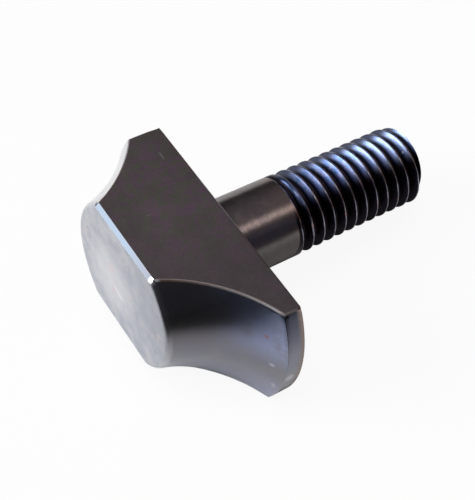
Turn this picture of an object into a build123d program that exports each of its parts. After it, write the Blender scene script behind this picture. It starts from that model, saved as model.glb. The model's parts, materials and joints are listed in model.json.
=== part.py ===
from build123d import *
from math import atan2, cos, degrees, floor, radians, tan
import os

# A thumb screw turned and milled from one piece of bar: a flared head with two milled flats,
# a plain shank and a coarse right-hand metric thread. It is drawn lying along X, with the thread
# pointing to +X, the flats square to Z and the centre of the head's bearing face at the origin,
# and is then tipped to where it comes to rest. Sizes are in millimetres and degrees.

# Driving dimensions of the head
rim_diameter = 26.6          # outside of the bar, left as the head's widest round
rim_offset = 1.45            # how far the rim's centre lies off the turned axis, towards -Y
end_face_diameter = 15.9     # small faced end, where the thumb pushes
head_height = 9.6
across_flats = 13.0
flare_radius = 11.2          # concave turned flank between the end face and the rim
narrowest_land = 1.7         # the rim's plain band, where the turned flank leaves it narrowest
end_face_break = 0.5         # chamfer round the end face
rim_break = 0.25             # chamfers on both edges of the rim's land
flat_break = 0.3             # chamfer all round each milled flat

# Driving dimensions of the shank and thread
shank_diameter = 8.0
root_break = 0.3             # small cone in the corner between the bearing face and the shank
plain_length = 7.2           # shank without thread, under the head
taper_length = 1.0           # past it, the shank tapers down to the thread's crests
length_under_head = 21.9
thread_pitch = 1.25          # coarse pitch of the 8 mm thread
thread_diameter = 7.9        # over the crests
tip_chamfer = 0.3
groove_start = 8.0           # where the groove has its full depth, measured from the bearing face
groove_start_angle = 106.0   # and where round the axis, counted from the top, the right-hand way
runout_turns = 0.45          # share of a turn over which the groove climbs out into the shank

# Worked out from them: the head
rim_radius = rim_diameter / 2
end_face_radius = end_face_diameter / 2
flare_outer_radius = rim_radius + rim_offset

# Worked out from them: a 60 degree V groove that leaves flat crests a sixth of the pitch wide
shank_radius = shank_diameter / 2
crest_radius = thread_diameter / 2
crest_width = thread_pitch / 6
flank_slope = tan(radians(30))
thread_depth = (thread_pitch - crest_width) / 2 / flank_slope
cutter_rise = 0.1            # the cutter stands out past the crests, short of the next turn's
cutter_half_width = (thread_depth + cutter_rise) * flank_slope
blank_length = length_under_head + 3 * thread_pitch    # threaded over-long, then faced off

# Worked out from them: the screw lies on the lower flat's back edge and on a crest near its tip
first_crest_below = groove_start + thread_pitch * ((180 - groove_start_angle) / 360 + 1 / 2)
crests_past_it = floor((length_under_head - tip_chamfer - first_crest_below) / thread_pitch)
last_crest_below = first_crest_below + crests_past_it * thread_pitch + crest_width / 2
nose_down = degrees(atan2(across_flats / 2 - crest_radius, last_crest_below + flat_break))


def groove_section(path, heading):
    """Draw the groove's section square to the heading, at the path's start, with X along the screw."""
    with BuildSketch(Plane(origin=path @ 0, x_dir=(1, 0, 0), z_dir=heading)) as section:
        # the sketch's Y points away from the axis or towards it, as the path sets off
        out = 1 if section.workplanes[0].y_dir.dot(path @ 0) > 0 else -1
        with BuildLine():
            Polyline((-cutter_half_width, out * cutter_rise), (cutter_half_width, out * cutter_rise),
                     (0, -out * thread_depth), close=True)
        make_face()
    return section.sketch


# The flare's outline is an arc, drawn as a Bezier curve: its two handles lie along the arc's
# tangents and have the length that keeps the curve on the arc
with BuildLine():
    flare = RadiusArc((-narrowest_land, flare_outer_radius), (-head_height, end_face_radius), flare_radius)
handle = 4 / 3 * tan(flare.length / flare_radius / 4) * flare_radius
outer_handle = flare @ 0 + flare % 0 * handle
inner_handle = flare @ 1 - flare % 1 * handle

# The head: a turned flare, wider than the bar would allow, so that the bar's round cuts it short
with BuildPart() as head:
    with BuildSketch(Plane.XY):
        with BuildLine():
            Polyline((-head_height, end_face_radius), (-head_height, 0), (0, 0), (0, flare_outer_radius),
                     (-narrowest_land, flare_outer_radius))
            Bezier(flare @ 0, outer_handle, inner_handle, flare @ 1)
        make_face()
    revolve(axis=Axis.X)
    # the bar's own round runs out of true with the flare, so the land's width changes round it
    with BuildSketch(Plane.YZ):
        with Locations((-rim_offset, 0)):
            Circle(rim_radius)
    extrude(amount=-head_height, mode=Mode.INTERSECT)
    # two milled flats
    with BuildSketch(Plane.XZ):
        with Locations((-head_height / 2, 0)):
            Rectangle(head_height, across_flats)
    extrude(amount=rim_diameter, both=True, mode=Mode.INTERSECT)
    # every edge is broken: the turned ones first, then all round each flat
    flare_and_rim = head.edges().filter_by(GeomType.BSPLINE)
    chamfer(flare_and_rim.filter_by(lambda edge: abs(edge.center().Z) < across_flats / 3), rim_break)
    chamfer(head.faces().sort_by(Axis.X)[0].edges().filter_by(GeomType.CIRCLE), end_face_break)
    chamfer(head.faces().sort_by(Axis.X)[-1].edges().filter_by(GeomType.CIRCLE), rim_break)
    chamfer(head.faces().sort_by(Axis.Z)[0].edges() + head.faces().sort_by(Axis.Z)[-1].edges(), flat_break)

# The thread's groove at full depth, from its start to past the finished tip
with BuildPart() as groove:
    with BuildLine() as groove_path:
        Helix(thread_pitch, length_under_head + thread_pitch - groove_start, crest_radius,
              center=(groove_start, 0, 0), direction=(1, 0, 0))
    heading = groove_path.line % 0
    sweep(sections=groove_section(groove_path.line, heading), path=groove_path.line, is_frenet=True)

# The groove's runout: the cutter is drawn out of the metal while it goes on round the shank. It
# starts on the groove's own plane, half a turn round and facing the other way, so the two meet.
runout_length = runout_turns * thread_pitch
runout_cone = degrees(atan2(thread_depth + cutter_rise / 2, runout_length))
with BuildPart() as runout:
    with BuildLine() as runout_path:
        Helix(thread_pitch / cos(radians(runout_cone)), runout_length, crest_radius,
              center=(groove_start, 0, 0), direction=(-1, 0, 0), cone_angle=runout_cone)
    sweep(sections=groove_section(runout_path.line, (-heading.X, heading.Y, heading.Z)),
          path=runout_path.line, is_frenet=True)

# The shank: turned over-long, threaded, and faced to length with a chamfered tip
with BuildPart() as shank:
    with BuildSketch(Plane.XY):
        with BuildLine():
            Polyline((-rim_break, 0), (-rim_break, shank_radius), (plain_length, shank_radius),
                     (plain_length + taper_length, crest_radius), (blank_length, crest_radius),
                     (blank_length, 0), close=True)
        make_face()
    revolve(axis=Axis.X)
    add(groove.part, rotation=(groove_start_angle, 0, 0), mode=Mode.SUBTRACT)
    add(runout.part, rotation=(groove_start_angle + 180, 0, 0), mode=Mode.SUBTRACT)
    with BuildSketch(Plane.XY):
        with BuildLine():
            Polyline((length_under_head, 0), (length_under_head, crest_radius - tip_chamfer),
                     (length_under_head - 2 * tip_chamfer, crest_radius + tip_chamfer),
                     (2 * blank_length, crest_radius + tip_chamfer), (2 * blank_length, 0), close=True)
        make_face()
    revolve(axis=Axis.X, mode=Mode.SUBTRACT)

# One piece, tipped to where it comes to rest
with BuildPart() as lying:
    add(head.part)
    add(shank.part)
    round_edges = lying.edges().filter_by(GeomType.CIRCLE)
    chamfer(round_edges.filter_by(lambda edge: edge.radius == shank_radius).sort_by(Axis.X)[0], root_break)
with BuildPart() as screw:
    add(lying.part, rotation=(0, nose_down, 0))
print("nose down", nose_down, "floor", screw.part.bounding_box().min.Z)
print("volume", screw.part.volume, "mass centre along the axis", lying.part.center().X)

screw.part.label = "thumb_screw"
os.makedirs("parts", exist_ok=True)
export_step(screw.part, "parts/thumb_screw.step")
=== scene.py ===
# %% [markdown]
# A blackened steel thumb screw
#
# This scene dresses one small turned part: a screw with a flared head, two milled flats on it,
# a plain shank and a coarse thread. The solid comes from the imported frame. Here it is modelled
# again as one finer mesh, with soft edges and a real thread, and gets its finishes: black oxide
# on the flanks, a nearly bare faced end, and a bluish thread with copper glints.

import json
from math import atan2, ceil, cos, degrees, pi, radians, sin, sqrt, tan

import bmesh
import bpy
from mathutils import Matrix, Vector


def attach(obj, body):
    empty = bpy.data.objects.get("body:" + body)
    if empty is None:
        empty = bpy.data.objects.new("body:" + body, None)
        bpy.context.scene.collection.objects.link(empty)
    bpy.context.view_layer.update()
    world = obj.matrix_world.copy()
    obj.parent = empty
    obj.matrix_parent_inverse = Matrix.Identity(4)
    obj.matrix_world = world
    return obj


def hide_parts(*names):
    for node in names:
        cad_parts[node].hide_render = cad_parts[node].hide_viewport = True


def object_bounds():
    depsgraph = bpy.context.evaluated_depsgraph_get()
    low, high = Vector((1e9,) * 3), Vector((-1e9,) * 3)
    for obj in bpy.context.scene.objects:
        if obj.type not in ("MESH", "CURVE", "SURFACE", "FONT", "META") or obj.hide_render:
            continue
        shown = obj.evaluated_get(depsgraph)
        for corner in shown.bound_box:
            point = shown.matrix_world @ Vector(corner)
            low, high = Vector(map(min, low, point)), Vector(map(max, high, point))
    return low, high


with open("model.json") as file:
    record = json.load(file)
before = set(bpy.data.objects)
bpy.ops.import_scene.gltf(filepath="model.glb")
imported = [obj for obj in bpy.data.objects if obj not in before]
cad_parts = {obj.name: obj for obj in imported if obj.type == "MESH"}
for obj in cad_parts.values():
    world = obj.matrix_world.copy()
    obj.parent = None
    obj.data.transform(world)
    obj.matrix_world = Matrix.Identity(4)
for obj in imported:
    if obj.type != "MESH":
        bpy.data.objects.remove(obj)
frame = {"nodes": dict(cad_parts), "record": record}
cad_low, cad_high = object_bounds()
mm = 0.001
mounts = {mount["name"]: mount for mount in frame["record"]["mounts"]}
axis = Vector(mounts["shank"]["axis"])
nose_down = atan2(-axis.z, axis.x)
print("nodes", sorted(frame["nodes"]), "nose down", round(degrees(nose_down), 2), "degrees")

# %% [markdown]
# The camera
#
# The photograph looks down on the screw from above its near side. The camera's place, its two
# picture axes and its lens were worked out from the corners of the head and the ends of the
# shank, so they are stated as they were found, and nothing is shifted or tilted afterwards.

# %% Set up the camera
camera_place = Vector((-30.087, -53.668, 88.529)) * mm
picture_right = Vector((0.843265, -0.537329, -0.013504))
picture_up = Vector((0.448945, 0.690298, 0.567396))
camera_data = bpy.data.cameras.new("photo_camera")
camera_data.sensor_width = 36
camera_data.lens = 84.166
camera_data.clip_start = 1 * mm
camera_data.clip_end = 10
camera = bpy.data.objects.new("photo_camera", camera_data)
bpy.context.collection.objects.link(camera)
turn = Matrix((picture_right, picture_up, picture_right.cross(picture_up))).transposed()
camera.matrix_world = Matrix.Translation(camera_place) @ turn.to_4x4()
bpy.context.scene.camera = camera
bpy.context.scene.view_settings.view_transform = "Standard"
print("camera is", round(camera_place.length / mm, 1), "mm from the origin")

# %% [markdown]
# Arithmetic on shader sockets
#
# A finish is easier to read as a formula than as a web of nodes. The Number class wraps one
# output socket, so that 1 - mask or noise * 0.3 adds the Math node for it. The Recipe class holds
# the nodes of a material or the world. Its method node adds any other node, and the methods
# below it are short names for the nodes that a finish uses most.


# %% Two small helpers for materials
class Number:
    """A number that varies over the surface, open to ordinary arithmetic."""

    def __init__(self, recipe, socket):
        self.recipe = recipe
        self.socket = socket

    def math(self, operation, first, second):
        return self.recipe.node("ShaderNodeMath", {"operation": operation}, {0: first, 1: second})

    def __add__(self, other):
        return self.math("ADD", self, other)

    __radd__ = __add__

    def __mul__(self, other):
        return self.math("MULTIPLY", self, other)

    __rmul__ = __mul__

    def __sub__(self, other):
        return self.math("SUBTRACT", self, other)

    def __rsub__(self, other):
        return self.math("SUBTRACT", other, self)

    def __truediv__(self, other):
        return self.math("DIVIDE", self, other)

    def __pow__(self, other):
        return self.math("POWER", self, other)


class Recipe:
    """Nodes added to a material or a world, each by the one method node."""

    def __init__(self, owner):
        owner.use_nodes = True
        self.owner = owner
        self.tree = owner.node_tree

    def node(self, kind, settings, inputs, output=0):
        """Add a node, set it, feed its sockets by name or number, and hand back one output."""
        node = self.tree.nodes.new(kind)
        for name, value in settings.items():
            setattr(node, name, value)
        self.feed(node, inputs)
        return Number(self, node.outputs[output])

    def feed(self, node, inputs):
        for name, value in inputs.items():
            if isinstance(value, Number):
                self.tree.links.new(value.socket, node.inputs[name])
            else:
                node.inputs[name].default_value = value

    def shade(self, **inputs):
        """Feed the Principled BSDF, whose socket names are given with _ for each space."""
        sockets = {name.replace("_", " "): value for name, value in inputs.items()}
        self.feed(self.tree.nodes["Principled BSDF"], sockets)

    def blend(self, mask, first, second):
        """The first colour where the mask is 0, the second where it is 1."""
        settings = {"data_type": "RGBA", "clamp_factor": True}
        return self.node("ShaderNodeMix", settings, {0: mask, 6: first, 7: second}, 2)

    def between(self, value, low, high):
        """0 below low, 1 above high, and a smooth climb from one to the other."""
        inputs = {"Value": value, "From Min": low, "From Max": high}
        return self.node("ShaderNodeMapRange", {"interpolation_type": "SMOOTHSTEP"}, inputs)

    def noise(self, vector, scale, detail=3.0, roughness=0.55, distortion=0.0):
        inputs = {"Vector": vector, "Scale": scale, "Detail": detail, "Roughness": roughness,
                  "Distortion": distortion}
        return self.node("ShaderNodeTexNoise", {}, inputs)

    def parts(self, vector, letters="XYZ"):
        """The parts of a vector that the letters name, each as a number."""
        return [self.node("ShaderNodeSeparateXYZ", {}, {"Vector": vector}, letter) for letter in letters]


print("helpers", Number.__name__, "and", Recipe.__name__, "are ready")

# %% [markdown]
# The floor and the light
#
# The screw lies on a white ground, which its polished sides mirror, while the room round it is
# dark. That contrast is what makes steel look like steel. So the world is nearly black at the
# horizon and a low grey overhead, and the ground's near side is painted dim in the mirrored
# picture, as painted shade. A large cool lamp, like a window, stands beyond the end face and
# lights the broken edges and the upper sides of the thread. A small warm one draws the pale streak
# along the shank, which a painted highlight on the shank strengthens, and a third, high above,
# keeps the ground white.

# %% Lay the floor
floor_height = cad_low.z
bpy.ops.object.select_all(action="DESELECT")
bpy.ops.mesh.primitive_plane_add(size=3.0, location=(0, 0, floor_height))
floor = bpy.context.active_object
floor.name = "floor"
paper = Recipe(bpy.data.materials.new("white_paper"))
is_camera = paper.node("ShaderNodeLightPath", {}, {}, "Is Camera Ray")
is_glossy = paper.node("ShaderNodeLightPath", {}, {}, "Is Glossy Ray")
is_through = paper.node("ShaderNodeLightPath", {}, {}, "Is Transmission Ray")
ground = paper.node("ShaderNodeTexCoord", {}, {}, "Object")
east, north = paper.parts(ground, "XY")
distance = paper.node("ShaderNodeVectorMath", {"operation": "LENGTH"}, {0: ground}, "Value") / mm
towards_viewer = (east * -0.75 + north * -0.66) / mm
# painted shade: for mirrored rays only, the ground's colour goes dark on its near side, standing in for
# the dark room there
dim = paper.between(towards_viewer, 8.0, 38.0) * is_glossy
paper.shade(Base_Color=paper.blend(dim * 0.97, (0.96, 0.955, 0.95, 1.0), (0.0, 0.0, 0.0, 1.0)),
            Roughness=0.9, Specular_IOR_Level=0.0)
glow = paper.node("ShaderNodeEmission", {}, {"Color": (1.0, 1.0, 1.0, 1.0), "Strength": 1.0})
mirrored = paper.between(distance, 24.0, 70.0) * (1 - dim) * is_glossy
share = is_camera * 0.92 + is_through * 0.92 + mirrored
lit = Number(paper, paper.tree.nodes["Principled BSDF"].outputs[0])
surface = paper.node("ShaderNodeMixShader", {}, {0: share, 1: lit, 2: glow})
paper.feed(paper.tree.nodes["Material Output"], {"Surface": surface})
floor.data.materials.append(paper.owner)
print("floor at", round(floor_height / mm, 2), "mm")


# %% Hang the lamps
def softbox(name, azimuth, elevation, distance, size, level, colour):
    """A square lamp that faces the screw; level is its own brightness, where white paper is 1."""
    data = bpy.data.lights.new(name, "AREA")
    data.color = colour
    data.size = size
    data.energy = level * pi * size * size
    lamp = bpy.data.objects.new(name, data)
    bpy.context.collection.objects.link(lamp)
    a = radians(azimuth)
    e = radians(elevation)
    direction = Vector((cos(a) * cos(e), sin(a) * cos(e), sin(e)))
    lamp.location = direction * distance
    lamp.rotation_euler = direction.to_track_quat("Z", "Y").to_euler()
    return lamp


softbox("window", 148, 21, 0.6, 0.46, 6.0, (0.92, 0.97, 1.0))
softbox("streak", -37, 53, 0.6, 0.14, 2.8, (1.0, 0.91, 0.82))
softbox("overhead", 100, 80, 0.6, 0.40, 2.6, (1.0, 0.98, 0.95))
room = Recipe(bpy.data.worlds.new("dark_room"))
heading = room.node("ShaderNodeTexCoord", {}, {}, "Generated")
east, north, up = room.parts(heading)
behind = east * 0.485 + north * 0.875
level = room.between(up, 0.05, 0.8) * room.between(behind, -0.6, -0.05)
sky = room.blend(level, (0.032, 0.032, 0.038, 1.0), (0.265, 0.25, 0.27, 1.0))
is_seen = room.node("ShaderNodeLightPath", {}, {}, "Is Camera Ray")
colour = room.blend(is_seen, sky, (1.0, 1.0, 1.0, 1.0))
room.feed(room.tree.nodes["Background"], {"Color": colour, "Strength": 1.0})
bpy.context.scene.world = room.owner

# %% [markdown]
# The head's turned outline
#
# A lathe leaves the same outline all the way round, but this head was cut from a bar that ran a
# little out of true: its rim is the bar's own round, 1.45 mm off the turned axis. So the outline
# is a function of how far the bar reaches in each direction. The flare ends where it meets that
# reach, and every edge gets a small round, as a tumbled and oxidised part has.

# %% Sizes of the screw, in millimetres
rim_radius = 13.3
rim_offset = 1.45
end_face_radius = 7.95
head_height = 9.6
half_across_flats = 6.5
flare_radius = 11.2
narrowest_land = 1.7
shank_radius = mounts["shank"]["dims"]["r_mm"]
thread_from = 6.9
columns = 192
flare_outer = Vector((-narrowest_land, rim_radius + rim_offset))
flare_inner = Vector((-head_height, end_face_radius))
chord = flare_inner - flare_outer
outwards = Vector((chord.y, -chord.x)).normalized()
flare_rise = sqrt(flare_radius ** 2 - (chord.length / 2) ** 2)
flare_centre = (flare_outer + flare_inner) / 2 + outwards * flare_rise
print("flare's centre", [round(value, 3) for value in flare_centre])


# %% The outline in one direction
def bar_reach(angle):
    """How far the bar's round stands from the screw's axis, at an angle from +Y towards +Z."""
    return sqrt(rim_radius ** 2 - (rim_offset * sin(angle)) ** 2) - rim_offset * cos(angle)


def arc(centre, radius, start, end, steps):
    """Points on a circle, from one angle to another."""
    turns = [start + (end - start) * step / steps for step in range(steps + 1)]
    return [centre + Vector((cos(turn), sin(turn))) * radius for turn in turns]


def bearing(centre, point):
    return atan2(point.y - centre.y, point.x - centre.x)


def head_outline(angle):
    """Points (x, r) of the head in one direction, from the end face to the plain shank."""
    face_round, rim_round, back_round, root_round = 0.5, 0.06, 0.15, 0.3
    reach = bar_reach(angle)
    # each small round's centre stands its own radius off the two lines that it joins
    face_x = face_round - head_height
    face_fall = sqrt((flare_radius + face_round) ** 2 - (face_x - flare_centre.x) ** 2)
    face_edge = Vector((face_x, flare_centre.y - face_fall))
    rim_r = reach - rim_round
    rim_run = sqrt((flare_radius + rim_round) ** 2 - (flare_centre.y - rim_r) ** 2)
    rim_edge = Vector((flare_centre.x + rim_run, rim_r))
    back_edge = Vector((-back_round, reach - back_round))
    root = Vector((root_round, shank_radius + root_round))
    flare_start = bearing(flare_centre, face_edge)
    flare_end = bearing(flare_centre, rim_edge)
    points = arc(face_edge, face_round, pi, flare_start + pi, 5)
    points += arc(flare_centre, flare_radius, flare_start, flare_end, 28)[1:]
    points += arc(rim_edge, rim_round, flare_end + pi, pi / 2, 3)[1:]
    points += [Vector((rim_edge.x * share, reach)) for share in (0.75, 0.4)]
    points += arc(back_edge, back_round, pi / 2, 0, 3)
    points += [Vector((0, root.lerp(back_edge, share).y)) for share in (0.75, 0.5, 0.25)]
    points += arc(root, root_round, pi, 3 * pi / 2, 4)
    points += [Vector((x, shank_radius)) for x in (1.8, 3.5, 5.2, thread_from)]
    return points


outlines = [head_outline(2 * pi * column / columns) for column in range(columns)]
print(len(outlines[0]), "points from", outlines[0][0][:], "to", outlines[0][-1][:])

# %% [markdown]
# Turning the head
#
# With the outline known, the head grows as a potter's pot does: a circle is drawn at the edge of
# the end face, its loop of edges is extruded, and the new loop is set on the next point of the
# outline, until the shank is reached. It is modelled lying along X with one unit to the
# millimetre, and is brought to metres, and tipped as it lies, at the very end.


# %% Grow the head ring by ring
def deselect_all():
    if bpy.context.mode != "OBJECT":
        bpy.ops.object.mode_set(mode="OBJECT")
    bpy.ops.object.select_all(action="DESELECT")


def column_of(place):
    """The column that a point stands in, from +Y towards +Z: whole only on a column itself."""
    return atan2(place.z, place.y) / (2 * pi) * columns % columns


def select_vertices(piece, chosen):
    """In edit mode, select the vertices that pass the test, and the edges and faces between them."""
    bpy.ops.mesh.select_mode(type="VERT")
    bpy.ops.mesh.select_all(action="DESELECT")
    mesh = bmesh.from_edit_mesh(piece.data)
    for vertex in mesh.verts:
        vertex.select = chosen(vertex.co)
    mesh.select_flush(True)
    bmesh.update_edit_mesh(piece.data)


def place_ring(piece, number):
    """Set the selected loop on that point of the outline, each vertex in its own direction."""
    mesh = bmesh.from_edit_mesh(piece.data)
    for vertex in (vertex for vertex in mesh.verts if vertex.select):
        column = round(column_of(vertex.co)) % columns
        angle = 2 * pi * column / columns
        x, r = outlines[column][number]
        vertex.co = (x, r * cos(angle), r * sin(angle))
    bmesh.update_edit_mesh(piece.data)


deselect_all()
bpy.ops.mesh.primitive_circle_add(vertices=columns, radius=outlines[0][0].y, fill_type="NOTHING",
                                  location=(-head_height, 0, 0), rotation=(0, pi / 2, 0))
screw = bpy.context.active_object
screw.name = "thumb_screw_dressed"
bpy.ops.object.transform_apply(location=True, rotation=True, scale=True)
bpy.ops.object.mode_set(mode="EDIT")
bpy.ops.mesh.select_all(action="SELECT")
place_ring(screw, 0)
for number in range(1, len(outlines[0])):
    bpy.ops.mesh.extrude_edges_move()
    place_ring(screw, number)
select_vertices(screw, lambda place: place.x < 0.001 - head_height)
bpy.ops.mesh.edge_face_add()
bpy.ops.object.mode_set(mode="OBJECT")
print("head has", len(screw.data.polygons), "faces")

# %% [markdown]
# Milling the flats
#
# A cutter has taken the head down to 13 mm on two sides. Bisect does the same: it cuts the mesh
# by a plane, throws away what is outside and fills the hole. The plane is set a little deep, and
# three insets then lead the new face up to its height, which leaves the broken edge all round. At
# the front of both flats and at the back of the lower one, on which the screw lies, the edge was
# broken more, so a slanted bisect takes it off. It acts on the head's vertices alone, as its plane
# would cut the shank too.

# %% Cut the two flats and break their edges
edge_steps = ((0.02, 0.03), (0.11, 0.10), (0.02, 0.01))
edge_rise = sum(rise for inwards, rise in edge_steps)
front_break = 0.36
lower_back_break = 0.3
bpy.ops.object.mode_set(mode="EDIT")
for side in (1, -1):
    bpy.ops.mesh.select_all(action="SELECT")
    bpy.ops.mesh.bisect(plane_co=(0, 0, side * (half_across_flats - edge_rise)), plane_no=(0, 0, side),
                        use_fill=True, clear_outer=True)
    bpy.ops.mesh.remove_doubles(threshold=0.25)
    bpy.ops.mesh.select_mode(type="FACE")
    cut = bmesh.from_edit_mesh(screw.data)
    for face in cut.faces:
        face.select = len(face.verts) > 8 and face.normal.z * side > 0.99
    bmesh.update_edit_mesh(screw.data)
    for inwards, rise in edge_steps + ((0.08, 0.0),):
        bpy.ops.mesh.inset(thickness=inwards, depth=rise)
for x, ahead, side in ((front_break - head_height, -1, 1), (front_break - head_height, -1, -1),
                       (-lower_back_break, 1, -1)):
    select_vertices(screw, lambda place: place.x < 0.01)
    bpy.ops.mesh.bisect(plane_co=(x, 0, side * half_across_flats), plane_no=(ahead, 0, side),
                        use_fill=True, clear_outer=True)
bpy.ops.mesh.select_mode(type="VERT")
bpy.ops.object.mode_set(mode="OBJECT")
heights = [vertex.co.z for vertex in screw.data.vertices]
print("flats at", round(min(heights), 3), "and", round(max(heights), 3), "mm")

# %% [markdown]
# Cutting the thread
#
# A thread is one small outline that climbs as it goes round, so it is drawn once, from the middle
# of one crest to the middle of the next, and a Screw modifier carries it round and along. The
# real groove is a 60 degree V with a rounded root. Where it begins, the tool was drawn out of the
# metal over half a turn, so there the groove is lifted until it fades into the plain shank.

# %% Sizes of the thread, in millimetres
pitch = 1.25
crest_radius = 3.95
crest_width = pitch / 8
groove_half_width = (pitch - crest_width) / 2
sharp_depth = groove_half_width / tan(radians(30))
groove_depth = 0.613 * pitch
groove_start = 8.0
groove_start_angle = radians(172)
runout_turns = 0.45
plain_length = 7.2
taper_length = 6.0
length_under_head = 21.9
tip_chamfer = 0.3
turns_before = 2
turns_after = ceil((length_under_head - groove_start) / pitch) + 1
print("groove is", round(groove_depth, 3), "mm deep, over", turns_after, "turns")


# %% Draw one pitch and carry it round
def groove_outline():
    """Half of one pitch, as (distance from the groove's middle, depth), from the crest inwards."""
    crest_round = 0.10
    root_radius = sharp_depth - groove_depth
    root_depth = sharp_depth - 2 * root_radius
    flank_end = root_radius * cos(radians(30))
    crest_centre = groove_half_width + crest_round * tan(radians(30))
    top = crest_centre - crest_round * sin(radians(60))
    flank = [top + (flank_end - top) * step / 4 for step in range(1, 4)]
    points = [(pitch / 2, 0.0)]
    points += [(crest_centre - crest_round * sin(turn), crest_round * (1 - cos(turn)))
               for turn in (0.0, radians(20), radians(40), radians(60))]
    points += [(off, (groove_half_width - off) / tan(radians(30))) for off in flank]
    points += [(root_radius * cos(turn), root_depth + root_radius * sin(turn))
               for turn in (radians(30), radians(50), radians(70), radians(90))]
    return points


half = groove_outline()
one_pitch = [(-off, depth) for off, depth in half[:-1]]
one_pitch += [(off, depth) for off, depth in reversed(half)]
first_middle = groove_start - pitch * (groove_start_angle / (2 * pi) + turns_before)
deselect_all()
bpy.ops.mesh.primitive_plane_add(size=0.1)
thread = bpy.context.active_object
thread.name = "thread"
bpy.ops.object.mode_set(mode="EDIT")
bpy.ops.mesh.merge(type="CENTER")
here = Vector((first_middle + one_pitch[0][0], crest_radius - one_pitch[0][1], 0))
bpy.ops.transform.translate(value=here)
for off, depth in one_pitch[1:]:
    there = Vector((first_middle + off, crest_radius - depth, 0))
    bpy.ops.mesh.extrude_vertices_move(TRANSFORM_OT_translate={"value": there - here})
    here = there
bpy.ops.object.mode_set(mode="OBJECT")
screwing = thread.modifiers.new("screwing", "SCREW")
screwing.axis = "X"
screwing.angle = 2 * pi
screwing.screw_offset = pitch
screwing.iterations = turns_before + turns_after
screwing.steps = columns
screwing.render_steps = columns
screwing.use_merge_vertices = True
screwing.merge_threshold = 0.0001
bpy.ops.object.modifier_apply(modifier=screwing.name)
print("thread has", len(thread.data.vertices), "vertices")


# %% Fade the runout and trim both ends
def envelope(x):
    """Radius of the turned shank before the groove is cut: plain, then a short taper to the crests."""
    share = min(max((x - plain_length) / taper_length, 0.0), 1.0)
    return shank_radius + (crest_radius - shank_radius) * share


def along_groove(place):
    """How many turns past the groove's start a point lies, and so less than 0 in the runout."""
    angle = (atan2(place.z, place.y) - groove_start_angle) / (2 * pi)
    return angle + round((place.x - groove_start) / pitch - angle)


deselect_all()
thread.select_set(True)
bpy.context.view_layer.objects.active = thread
bpy.ops.object.mode_set(mode="EDIT")
bpy.ops.mesh.select_all(action="SELECT")
bpy.ops.mesh.bisect(plane_co=(length_under_head - tip_chamfer, 0, 0), plane_no=(1, 0, 0))
bpy.ops.object.mode_set(mode="OBJECT")
for vertex in thread.data.vertices:
    place = vertex.co
    radius = sqrt(place.y ** 2 + place.z ** 2)
    lifted = groove_depth * max(-along_groove(place) / runout_turns, 0.0)
    depth = max(crest_radius - radius - lifted, 0.0)
    tip_radius = crest_radius + length_under_head - tip_chamfer - place.x
    new_radius = min(envelope(place.x) - depth, tip_radius)
    place.y, place.z = place.y * new_radius / radius, place.z * new_radius / radius
bpy.ops.object.mode_set(mode="EDIT")
bpy.ops.mesh.select_all(action="SELECT")
bpy.ops.mesh.bisect(plane_co=(thread_from, 0, 0), plane_no=(1, 0, 0), clear_inner=True)
select_vertices(thread, lambda place: place.x < thread_from + 0.001
                and abs(column_of(place) - round(column_of(place))) > 0.01)
bpy.ops.mesh.dissolve_verts()
bpy.ops.mesh.select_all(action="SELECT")
bpy.ops.mesh.bisect(plane_co=(length_under_head, 0, 0), plane_no=(1, 0, 0), clear_outer=True,
                    use_fill=True)
bpy.ops.object.mode_set(mode="OBJECT")
reach = [vertex.co.x for vertex in thread.data.vertices]
print("thread runs from", round(min(reach), 3), "to", round(max(reach), 3), "mm")

# %% [markdown]
# One closed skin
#
# Head and thread are joined into one mesh. Their open loops lie on each other on the plain shank,
# with a vertex in every column, so merging doubled vertices closes the gap. The normals are then
# recalculated, and a count of edges without two faces shows that the skin is closed.

# %% Join head and thread
deselect_all()
thread.select_set(True)
screw.select_set(True)
bpy.context.view_layer.objects.active = screw
bpy.ops.object.join()
bpy.ops.object.mode_set(mode="EDIT")
bpy.ops.mesh.select_all(action="SELECT")
bpy.ops.mesh.remove_doubles(threshold=0.004)
bpy.ops.mesh.normals_make_consistent(inside=False)
skin = bmesh.from_edit_mesh(screw.data)
open_edges = [edge for edge in skin.edges if len(edge.link_faces) != 2]
volume = skin.calc_volume()
bpy.ops.object.mode_set(mode="OBJECT")
print("open edges", len(open_edges), "volume", round(volume, 1), "cubic mm")

# %% [markdown]
# The finishes
#
# One steel has eight looks here. The flats keep the mottled skin of the oxide bath, in plum and
# olive. The flare is smoother and mirrors the ground. The end was faced after blackening and is
# nearly bare. The rim has the drawn skin of the bar, and the broken edges are worn brown or pale.
# The shank is brownish, and the thread came out of the bath blue, with copper glints low on its
# sides and rubbed crests. Each look is metal whose colour blends by place and by noise, because
# noise and place are worked out on the surface itself and so stay put from every side. Much of
# the blending by place is painted light and shade: the lighter and darker parts of the flats, the
# flare, the rim's land, the faced end, the shank and the thread, part of the pale on the lower
# edges, a bright spot on a front corner, the shank's streak and the copper glints stand in for
# the room's reflection and its shade.

# %% Coordinates along the screw
def screw_axes(finish):
    """Object coordinates in millimetres, turned back so that X runs along the screw."""
    place = finish.node("ShaderNodeTexCoord", {}, {}, "Object")
    inputs = {"Vector": place, "Rotation": (0, -nose_down, 0), "Scale": (1 / mm, 1 / mm, 1 / mm)}
    return finish.node("ShaderNodeMapping", {"vector_type": "POINT"}, inputs)


def steel(name):
    """Start a finish, and hand it back with its coordinates along the screw."""
    finish = Recipe(bpy.data.materials.new(name))
    finish.shade(Metallic=1.0)
    return finish, screw_axes(finish)


print("coordinates run along the screw")


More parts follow.
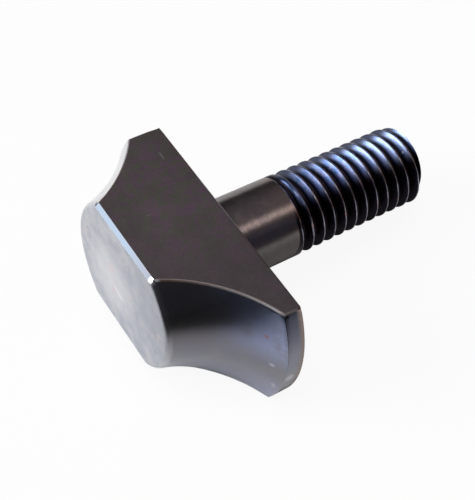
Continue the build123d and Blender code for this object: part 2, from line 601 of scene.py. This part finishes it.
# %% Marks and grain
def mark(finish, place, centre, reach):
    """1 at the centre of a spot or scratch, 0 outside it; reach is its half size along each axis."""
    inputs = {"Vector": place, "Location": [-at / size for at, size in zip(centre, reach)],
              "Scale": [1 / size for size in reach]}
    scaled = finish.node("ShaderNodeMapping", {"vector_type": "POINT"}, inputs)
    away = finish.node("ShaderNodeVectorMath", {"operation": "LENGTH"}, {0: scaled}, "Value")
    return 1 - finish.between(away, 0.3, 1.0)


def stretched(finish, place, scale):
    """The same coordinates, squeezed more along some axes than along others."""
    return finish.node("ShaderNodeMapping", {"vector_type": "POINT"}, {"Vector": place, "Scale": scale})


def relief(finish, height, depth):
    """A normal from a height between 0 and 1, where 1 stands the given depth in millimetres proud."""
    inputs = {"Height": height, "Strength": 1.0, "Distance": depth * mm}
    return finish.node("ShaderNodeBump", {}, inputs)


print("marks, stretched grain and relief are ready")


# %% Mottled oxide on the milled flats
def milled_flat():
    finish, place = steel("milled_flat")
    x, y = finish.parts(place, "XY")
    grain = finish.noise(place, 1.5, 5.0, 0.66, 0.5)
    cloud = finish.noise(place, 0.45, 3.0, 0.6)
    dust = finish.noise(place, 7.0, 2.0, 0.6)
    plum = (0.222, 0.150, 0.200, 1.0)
    olive = (0.165, 0.172, 0.132, 1.0)
    colour = finish.blend(finish.between(grain * 0.7 + cloud * 0.3, 0.41, 0.59), plum, olive)
    shade = finish.between(cloud * 0.4 + dust * 0.6, 0.35, 0.65) * 0.5
    # the cloud and dust part is the oxide's uneven tone; the flat also darkens towards its near side and
    # its front, which is painted shade standing in for a dimmer reflection there
    shade = shade + finish.between(y, 2.0, -9.0) * 0.60 + finish.between(x, -5.0, -9.5) * 0.40
    dark_tone_and_painted_shade = (0.128, 0.110, 0.116, 1.0)
    colour = finish.blend(shade, colour, dark_tone_and_painted_shade)
    scratch = mark(finish, place, (-1.65, 7.0, 6.5), (0.12, 0.75, 0.5))
    scratch = scratch + mark(finish, place, (-6.2, 1.5, 6.5), (0.5, 0.07, 0.5)) * 0.4
    colour = finish.blend(scratch * 0.5, colour, (0.42, 0.40, 0.50, 1.0))
    finish.shade(Base_Color=colour, Roughness=0.24 + grain * 0.16, Normal=relief(finish, dust, 0.004))
    return finish.owner


# %% The turned flare
def turned_flare():
    finish, place = steel("turned_flare")
    x, y, z = finish.parts(place)
    rings = finish.noise(stretched(finish, place, (9.0, 0.5, 0.5)), 1.0, 3.0, 0.6)
    cloud = finish.noise(place, 0.6, 4.0, 0.6)
    smoke = (0.235, 0.222, 0.240, 1.0)
    steel_blue = (0.370, 0.430, 0.690, 1.0)
    colour = finish.blend(finish.between(x, -7.0, -2.2), smoke, steel_blue)
    # painted light: the flare is darker on its upper part and lighter below, near white low at the front
    # and high on the far wing, standing in for its reflection of the dark room and the white ground
    colour = finish.blend(finish.between(z, 3.0, -0.8), colour, (0.150, 0.148, 0.195, 1.0))
    colour = finish.blend(finish.between(z, -1.0, -5.8), colour, (0.360, 0.370, 0.520, 1.0))
    colour = finish.blend(finish.between(z, -3.4, -5.6) * finish.between(x, -4.6, -7.6), colour,
                          (0.900, 0.970, 1.000, 1.0))
    colour = finish.blend(finish.between(y, 1.0, 4.0) * finish.between(z, 1.0, 4.5), colour,
                          (0.860, 0.865, 0.890, 1.0))
    colour = finish.blend(finish.between(cloud, 0.45, 0.75) * 0.5, colour, (0.225, 0.205, 0.205, 1.0))
    bare = 1 - finish.between(x, -9.5, -8.9)
    colour = finish.blend(bare * 0.8, colour, (0.50, 0.50, 0.54, 1.0))
    specks = finish.between(finish.noise(place, 2.4, 2.0, 0.5), 0.74, 0.80)
    specks = specks + mark(finish, place, (-2.11, -13.25, 3.99), (0.18, 0.18, 0.18))
    specks = specks + mark(finish, place, (-2.34, -13.41, -0.1), (0.5, 0.4, 0.3))
    specks = specks + mark(finish, place, (-2.0, -13.68, -3.26), (0.4, 0.3, 0.45))
    colour = finish.blend(specks * 0.55, colour, (0.60, 0.60, 0.66, 1.0))
    colour = finish.blend(mark(finish, place, (-2.67, -12.42, 3.25), (0.3, 0.3, 0.3)) * 0.8, colour,
                          (0.50, 0.22, 0.26, 1.0))
    finish.shade(Base_Color=colour, Roughness=0.20 + rings * 0.10, Normal=relief(finish, rings, 0.0025),
                 Coat_Weight=1.0, Coat_Roughness=0.12, Coat_IOR=1.7)
    return finish.owner


# %% The faced end
def faced_end():
    finish, place = steel("faced_end")
    y, z = finish.parts(place, "YZ")
    radius = (y * y + z * z) ** 0.5
    tracks = finish.node("ShaderNodeCombineXYZ", {}, {0: radius * 5.0, 1: y * 0.25, 2: z * 0.25})
    rings = finish.noise(tracks, 1.0, 3.0, 0.65)
    cloud = finish.noise(place, 0.7, 5.0, 0.62)
    cool_grey = (0.490, 0.510, 0.575, 1.0)
    pale_grey = (0.650, 0.652, 0.675, 1.0)
    colour = finish.blend(finish.between(cloud, 0.32, 0.68), cool_grey, pale_grey)
    colour = finish.blend(finish.between(rings, 0.40, 0.75) * 0.35, colour, (0.50, 0.51, 0.56, 1.0))
    # painted light: the face is darker towards its near corner and lighter in the middle, standing in
    # for how it mirrors the lit ground
    near_corner = finish.between(y, 0.0, -6.5) * finish.between(z, -5.0, 1.0)
    colour = finish.blend(near_corner * 0.60, colour, (0.40, 0.41, 0.46, 1.0))
    middle = mark(finish, place, (-9.6, 2.0, -1.0), (5.0, 5.0, 5.0))
    colour = finish.blend(middle * 0.65, colour, (0.84, 0.83, 0.85, 1.0))
    pink = mark(finish, place, (-9.6, 1.92, 0.63), (1.0, 0.9, 0.8))
    pink = pink + mark(finish, place, (-9.6, 1.36, -2.04), (1.0, 0.7, 0.5))
    pink = pink + finish.between(finish.noise(place, 0.9, 2.0, 0.5), 0.66, 0.74)
    colour = finish.blend(pink * 0.40, colour, (0.80, 0.62, 0.64, 1.0))
    streak = (1 - finish.between(radius, 1.68, 1.90)) * finish.between(radius, 1.45, 1.66)
    streak = streak * mark(finish, place, (-9.6, 0.5, -1.5), (1.0, 1.3, 1.0))
    colour = finish.blend(streak * 0.9, colour, (0.95, 0.95, 0.96, 1.0))
    dots = mark(finish, place, (-9.6, 6.27, 1.7), (0.3, 0.22, 0.22))
    dots = dots + mark(finish, place, (-9.6, -6.07, -2.39), (0.3, 0.2, 0.2))
    dots = dots + finish.between(finish.noise(place, 3.2, 2.0, 0.5), 0.75, 0.80)
    colour = finish.blend(dots * 0.55, colour, (0.25, 0.23, 0.27, 1.0))
    finish.shade(Base_Color=colour, Roughness=0.33 + rings * 0.10, Normal=relief(finish, rings, 0.004))
    return finish.owner


# %% The bar's own skin round the rim
def bar_skin():
    finish, place = steel("bar_skin")
    x, z = finish.parts(place, "XZ")
    drawn = finish.noise(stretched(finish, place, (0.6, 3.0, 3.0)), 1.0, 3.0, 0.6)
    colour = finish.blend(drawn, (0.235, 0.245, 0.300, 1.0), (0.290, 0.290, 0.330, 1.0))
    # painted light: the rim's land is darker on top and lighter below, standing in for its reflection of
    # the dark room and the white ground
    colour = finish.blend(finish.between(z, 1.5, 5.5) * 0.8, colour, (0.100, 0.110, 0.160, 1.0))
    colour = finish.blend(finish.between(z, 1.0, -4.0), colour, (0.420, 0.415, 0.440, 1.0))
    colour = finish.blend(finish.between(x, -0.75, -0.15) * 0.8, colour, (0.300, 0.225, 0.175, 1.0))
    scuff = mark(finish, place, (-1.19, -14.68, -1.34), (0.6, 0.6, 0.8))
    colour = finish.blend(scuff * 0.7, colour, (0.62, 0.62, 0.66, 1.0))
    finish.shade(Base_Color=colour, Roughness=0.22 + drawn * 0.14, Normal=relief(finish, drawn, 0.003))
    return finish.owner


# %% Broken edges
def broken_edge():
    finish, place = steel("broken_edge")
    x, y, z = finish.parts(place)
    rub = finish.between(finish.noise(place, 0.9, 4.0, 0.65), 0.35, 0.65)
    brown = (0.260, 0.172, 0.135, 1.0)
    # the edges turn from brown to a lighter grey towards the back: a little of it is random rub, and
    # most of it is painted light standing in for the brighter reflection there
    worn_and_painted_lit_grey = (0.360, 0.335, 0.340, 1.0)
    colour = finish.blend(rub * 0.2 + finish.between(x, -8.5, -3.0) * 0.8, brown, worn_and_painted_lit_grey)
    # the lower edges are pale, partly as worn bare steel and partly as a painted reflection of the white
    # ground they face
    colour = finish.blend(finish.between(z, 1.0, -1.0), colour, (0.720, 0.760, 0.800, 1.0))
    back = finish.between(x, -0.5, -0.2)
    colour = finish.blend(back, colour, (0.130, 0.080, 0.050, 1.0))
    beside_shank = 1 - finish.between((y * y) ** 0.5, 2.5, 5.0)
    colour = finish.blend(back * beside_shank, colour, (0.240, 0.225, 0.220, 1.0))
    front = 1 - finish.between(x, -9.3, -9.0)
    far_tint = (0.104, 0.120, 0.146, 1.0)
    near_tint = (0.100, 0.100, 0.116, 1.0)
    window_lit = finish.blend(finish.between(y, 0.0, -4.5), far_tint, near_tint)
    colour = finish.blend(front, colour, window_lit)
    # painted highlight: a near-white spot on the near front corner of the upper flat, standing in for
    # the window's reflection
    corner = mark(finish, place, (-9.35, -4.9, 6.3), (0.7, 0.7, 0.7))
    colour = finish.blend(corner, colour, (0.90, 0.90, 0.92, 1.0))
    finish.shade(Base_Color=colour, Roughness=0.50 - front * 0.26)
    return finish.owner


# %% The turned shank
def turned_shank():
    finish, place = steel("turned_shank")
    x, y, z = finish.parts(place)
    rings = finish.noise(stretched(finish, place, (11.0, 0.7, 0.7)), 1.0, 3.0, 0.6)
    blotch = finish.noise(place, 1.1, 4.0, 0.6, 0.5)
    dark_brown = (0.150, 0.126, 0.132, 1.0)
    light_brown = (0.205, 0.172, 0.166, 1.0)
    colour = finish.blend(finish.between(blotch, 0.35, 0.65), dark_brown, light_brown)
    colour = finish.blend(finish.between(x, 4.5, 7.5) * 0.6, colour, (0.215, 0.160, 0.140, 1.0))
    colour = finish.blend(finish.between(rings, 0.35, 0.7) * 0.3, colour, (0.120, 0.104, 0.110, 1.0))
    # painted light: the shank darkens on its far side and low on its near side as painted shade, and a
    # long pale band high on its near side is a painted highlight along the lamp's streak
    colour = finish.blend(finish.between(y, 1.8, 3.6) * 0.6, colour, (0.060, 0.062, 0.060, 1.0))
    colour = finish.blend(mark(finish, place, (4.0, -2.95, 2.7), (5.0, 0.8, 0.9)) * 0.5, colour,
                          (0.360, 0.345, 0.450, 1.0))
    colour = finish.blend(finish.between(y, -3.1, -3.8) * 0.55, colour, (0.095, 0.100, 0.102, 1.0))
    # painted shade: a near-black wedge low on the near side, where the groove begins, stands in for the
    # shade there
    painted_runout_shade_from = 6.95 - finish.between(z, 1.2, -2.2) * 0.55
    painted_runout_shade = finish.between(x - painted_runout_shade_from, 0.0, 0.12) * finish.between(y, -2.0, -3.2)
    colour = finish.blend(painted_runout_shade, colour, (0.010, 0.008, 0.010, 1.0))
    finish.shade(Base_Color=colour, Roughness=0.22 + rings * 0.07, Normal=relief(finish, blotch, 0.006))
    return finish.owner


# %% The blued thread and its worn crests
def groove_phase(finish, place):
    """0 in the middle of the groove, rising towards the tip, and 0.5 on the crest."""
    x, y, z = finish.parts(place)
    angle = finish.node("ShaderNodeMath", {"operation": "ARCTAN2"}, {0: z, 1: y})
    turns = (x - groove_start) / pitch - (angle - groove_start_angle) / (2 * pi)
    return finish.node("ShaderNodeMath", {"operation": "FRACT"}, {0: turns})


def blued_thread():
    finish, place = steel("blued_thread")
    phase = groove_phase(finish, place)
    blotch = finish.noise(place, 1.3, 4.0, 0.6)
    x, y, z = finish.parts(place)
    deep_blue = (0.120, 0.205, 0.430, 1.0)
    pale_blue = (0.280, 0.310, 0.530, 1.0)
    colour = finish.blend(finish.between(blotch, 0.38, 0.62), deep_blue, pale_blue)
    # painted light: the thread is darker near the head and lighter towards the tip, keeps its blue only
    # high on top where the window's reflection falls, and goes near black on its far top, its near side
    # and down in the grooves, as painted shade
    colour = finish.blend(finish.between(x, 13.0, 8.0) * 0.45, colour, (0.090, 0.120, 0.220, 1.0))
    colour = finish.blend(finish.between(x, 13.5, 17.5) * 0.6, colour, (0.330, 0.430, 0.700, 1.0))
    colour = finish.blend(finish.between(z, 3.6, 2.2), colour, (0.030, 0.034, 0.056, 1.0))
    colour = finish.blend(finish.between(y, 0.8, 2.4), colour, (0.056, 0.062, 0.100, 1.0))
    colour = finish.blend(finish.between(y, -1.0, -2.6), colour, (0.016, 0.013, 0.022, 1.0))
    off_crest = ((phase - 0.5) * (phase - 0.5)) ** 0.5
    colour = finish.blend(finish.between(off_crest, 0.20, 0.38), colour, (0.014, 0.010, 0.013, 1.0))
    # painted glints: thin copper lines just past each crest, with less metal so that they catch the
    # lamps, standing in for reflections between the turns
    lip = finish.between(phase, 0.555, 0.575) * (1 - finish.between(phase, 0.62, 0.66))
    patchy = finish.between(finish.noise(place, 1.6, 3.0, 0.6), 0.34, 0.50)
    glints = lip * patchy * finish.between(z, 1.2, 2.8)
    glints = glints * (0.2 + finish.between(x, 8.2, 9.0) * 0.8)
    colour = finish.blend(glints, colour, (1.000, 0.420, 0.260, 1.0))
    nick = mark(finish, place, (20.55, -1.17, 3.43), (0.16, 0.16, 0.3))
    colour = finish.blend(nick, colour, (0.95, 0.95, 0.95, 1.0))
    finish.shade(Base_Color=colour, Metallic=1 - glints * 0.9, Roughness=0.29 + blotch * 0.16,
                 Normal=relief(finish, blotch, 0.008))
    return finish.owner


def worn_crest():
    finish, place = steel("worn_crest")
    rub = finish.between(finish.noise(place, 1.5, 4.0, 0.65), 0.35, 0.65)
    colour = finish.blend(rub, (0.160, 0.165, 0.215, 1.0), (0.360, 0.360, 0.430, 1.0))
    copper = finish.between(finish.noise(place, 0.9, 3.0, 0.6), 0.58, 0.70)
    colour = finish.blend(copper * 0.6, colour, (0.360, 0.170, 0.110, 1.0))
    finish.shade(Base_Color=colour, Roughness=0.22)
    return finish.owner


looks = [milled_flat(), turned_flare(), faced_end(), bar_skin(), broken_edge(), turned_shank(),
         blued_thread(), worn_crest()]
print([look.name for look in looks])


# %% Give each face its finish
def finish_of(face):
    """The finish's place in the list, from where a face lies and where it looks."""
    flat, flare, end, bar, edge, shank, blue, crest = range(8)
    place = face.center
    radius = sqrt(place.y ** 2 + place.z ** 2)
    if place.x > length_under_head - 0.01:
        return shank
    if place.x > plain_length + 0.1:
        worn = radius > envelope(place.x) - 0.012 and abs(face.normal.x) < 0.2
        return crest if worn and along_groove(place) > -0.1 else blue
    if place.x > 0.3:
        return shank
    if abs(place.z) > half_across_flats - 0.01:
        return flat
    if abs(place.z) > half_across_flats - edge_rise:
        return edge
    slanted = abs(face.normal.z) > 0.35 and abs(face.normal.x) > 0.35
    at_ends = place.x < front_break - head_height or place.x > -lower_back_break
    if slanted and at_ends and abs(place.z) > half_across_flats - front_break:
        return edge
    if place.x < 0.05 - head_height:
        return end
    if place.x > -0.05:
        return shank
    if radius > bar_reach(atan2(place.z, place.y)) - 0.05:
        return bar
    return flare


for look in looks:
    screw.data.materials.append(look)
for face in screw.data.polygons:
    face.material_index = finish_of(face)
counts = {look.name: 0 for look in looks}
for face in screw.data.polygons:
    counts[looks[face.material_index].name] += 1
print(counts)

# %% [markdown]
# Where it lies
#
# The screw balances on the back edge of its lower flat and on a crest near its tip. The mesh is
# brought to metres and tipped by the angle that the frame gives, so that the object itself stays
# at the origin, unturned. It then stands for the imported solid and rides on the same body.

# %% Bring it to the frame and hand it over
screw.data.transform(Matrix.Rotation(nose_down, 4, "Y") @ Matrix.Scale(mm, 4))
deselect_all()
screw.select_set(True)
bpy.context.view_layer.objects.active = screw
bpy.ops.object.shade_smooth_by_angle(angle=radians(32))
for face in screw.data.polygons:
    if face.area > 2 * mm * mm:
        face.use_smooth = False
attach(screw, "root")
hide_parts("thumb_screw")
print("triangles", sum(len(face.vertices) - 2 for face in screw.data.polygons))
